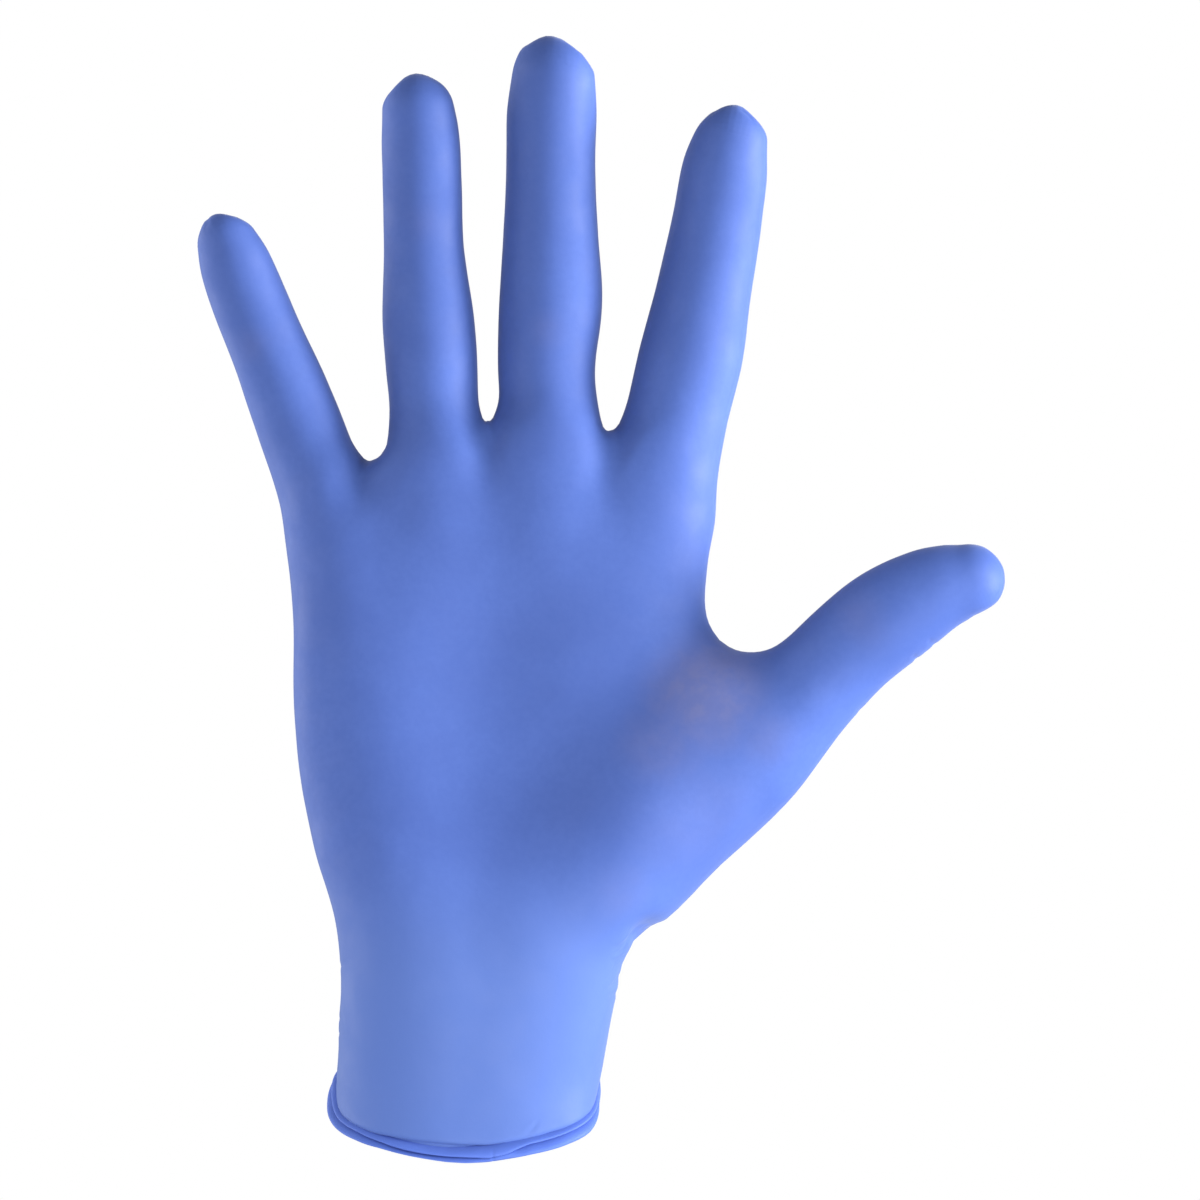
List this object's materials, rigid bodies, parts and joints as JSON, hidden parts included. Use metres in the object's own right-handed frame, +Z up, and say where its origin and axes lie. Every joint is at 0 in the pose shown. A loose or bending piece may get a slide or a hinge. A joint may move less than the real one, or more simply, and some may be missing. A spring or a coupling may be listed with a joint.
{
  "type": "nitrile exam glove",
  "caption": "Disposable thin rubber glove for the right hand, held in the shape of an open, spread hand, with a straight cuff that ends in a rolled edge round an open mouth.",
  "frame": {"origin": "centre of the cuff's mouth, where the wrist goes in", "axes": "+Z up the hand to the fingertips, +X to the thumb, -Y out of the palm"},
  "size_m": [0.1713, 0.0495, 0.2395],
  "materials": {
    "nitrile_film": "satin"
  },
  "bodies": {
    "root": {"glove": "nitrile_film"}
  },
  "joints": []
}
